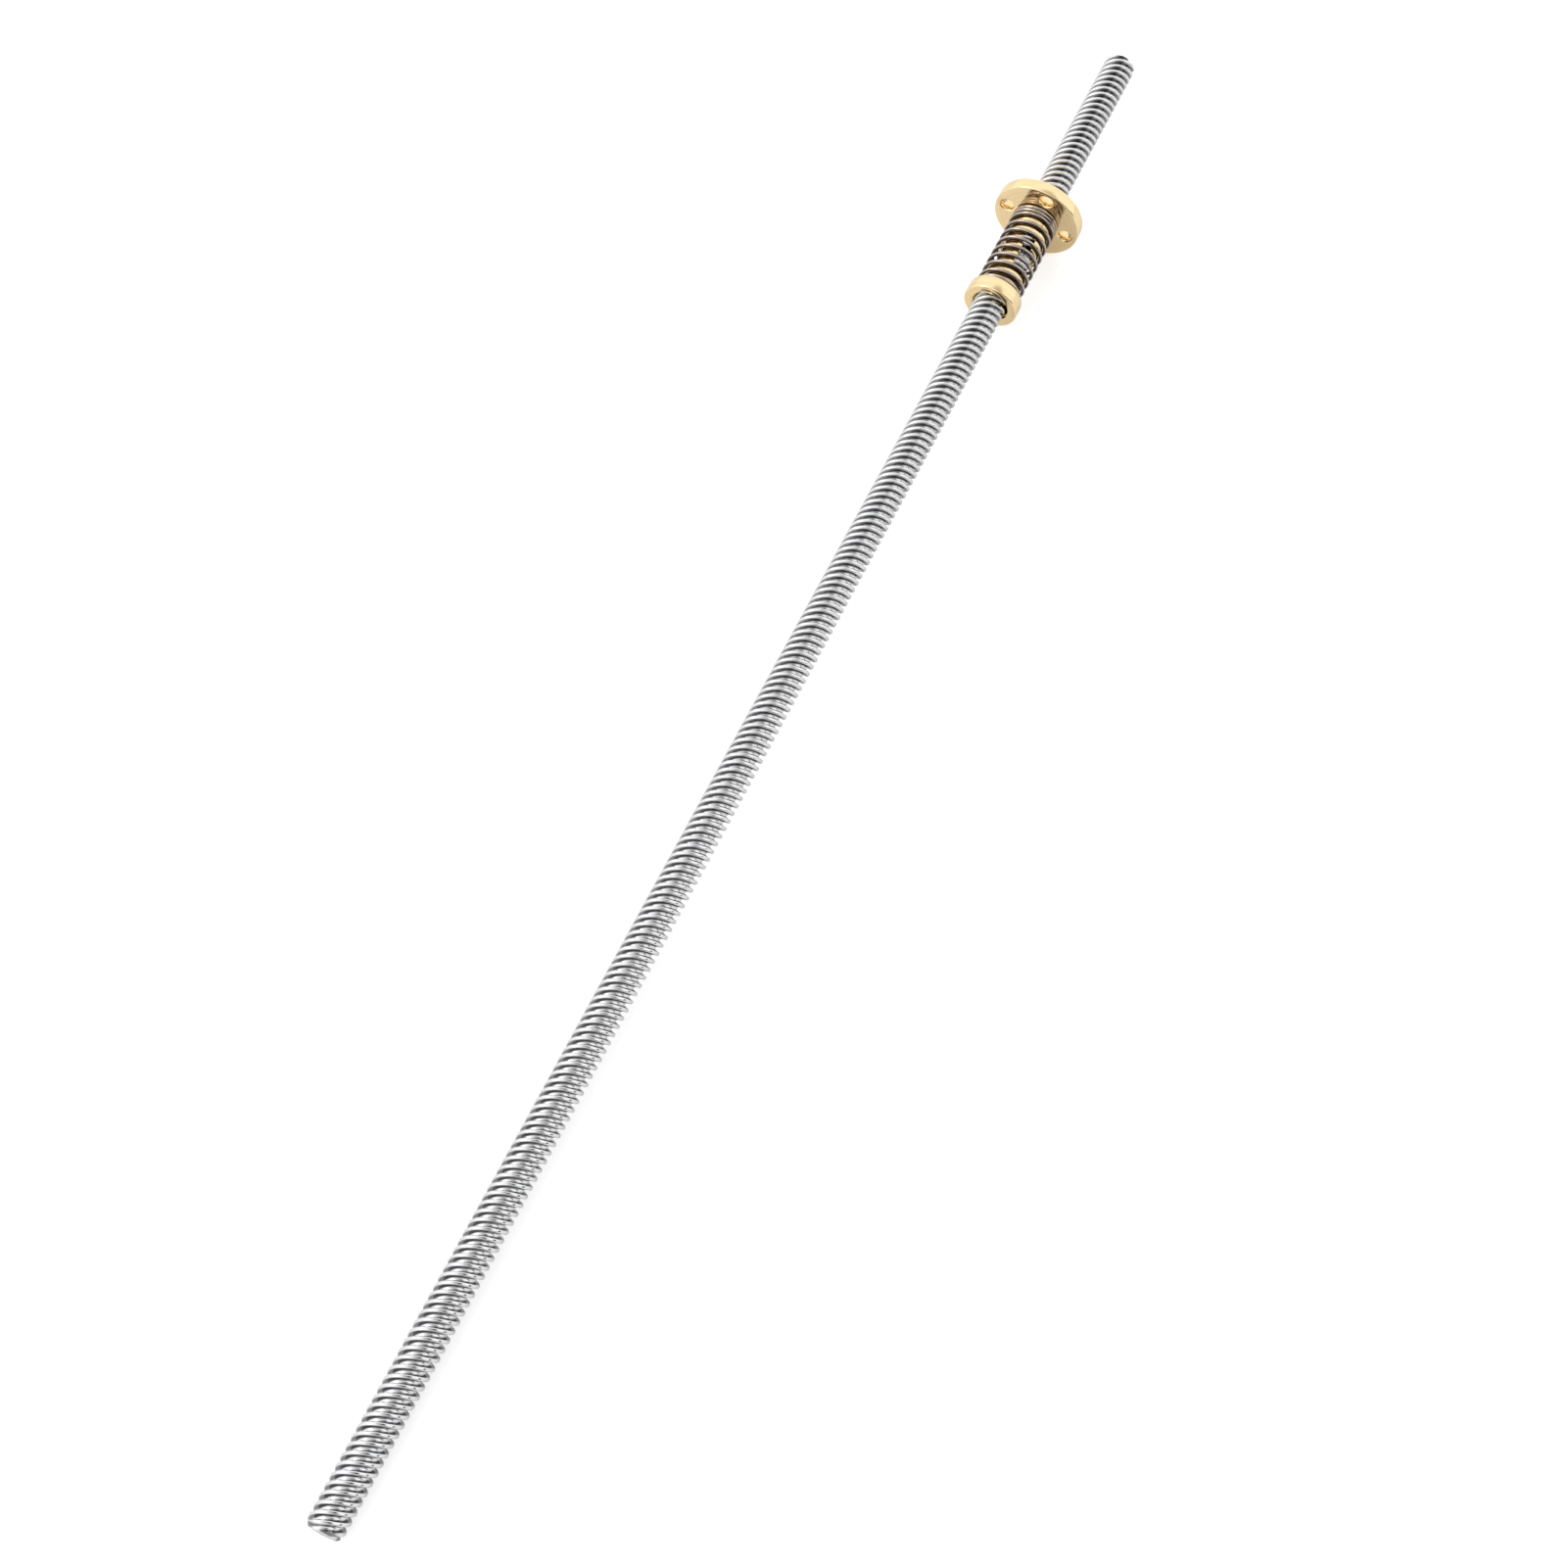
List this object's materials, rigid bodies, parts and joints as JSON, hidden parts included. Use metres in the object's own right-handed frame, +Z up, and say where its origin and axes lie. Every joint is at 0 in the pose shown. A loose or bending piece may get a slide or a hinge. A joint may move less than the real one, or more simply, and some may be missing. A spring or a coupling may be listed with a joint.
{
  "type": "trapezoidal lead screw",
  "caption": "Straight steel lead screw with a multi-start trapezoidal thread, and a flanged brass nut in two halves that a coil spring pushes apart to take up backlash.",
  "frame": {"origin": "bottom centre of the box round the whole part, on the surface that it lies on", "axes": "+X along the screw from its near end to its far end, seen from above (the screw's axis rises 1.16 degrees towards the far end, because the flange is thicker than the screw), +Z up, +Y to the left"},
  "size_m": [0.4, 0.0218, 0.0219],
  "materials": {
    "steel": "rolled and polished steel",
    "brass": "turned brass, satin",
    "spring_wire": "dark oiled spring wire"
  },
  "bodies": {
    "flange_half": {"flange_nut": "brass"},
    "collar_half": {"collar_nut": "brass"},
    "spring": {"compression_spring": "spring_wire"},
    "screw": {"lead_screw": "steel"}
  },
  "joints": [
    {"name": "screw_spin", "type": "hinge", "parent": "flange_half", "child": "spring", "pos_m": [0.14427, 0, 0.01094], "axis": [0.9998, 0, 0.0202], "range_deg": [-2341, 14176]},
    {"name": "screw_travel", "type": "slide", "parent": "spring", "child": "screw", "axis": [0.9998, 0, 0.0202], "range_m": [-0.052, 0.315]},
    {"name": "collar_turn", "type": "hinge", "parent": "flange_half", "child": "collar_half", "pos_m": [0.14427, 0, 0.01094], "axis": [0.9998, 0, 0.0202], "range_deg": [0, 25], "stiffness_Nm_per_rad": 0.001, "springref_deg": -57.3}
  ],
  "couplings": [
    {"joint": "screw_spin", "follows": "screw_travel", "rad_per_m": 785.4}
  ]
}
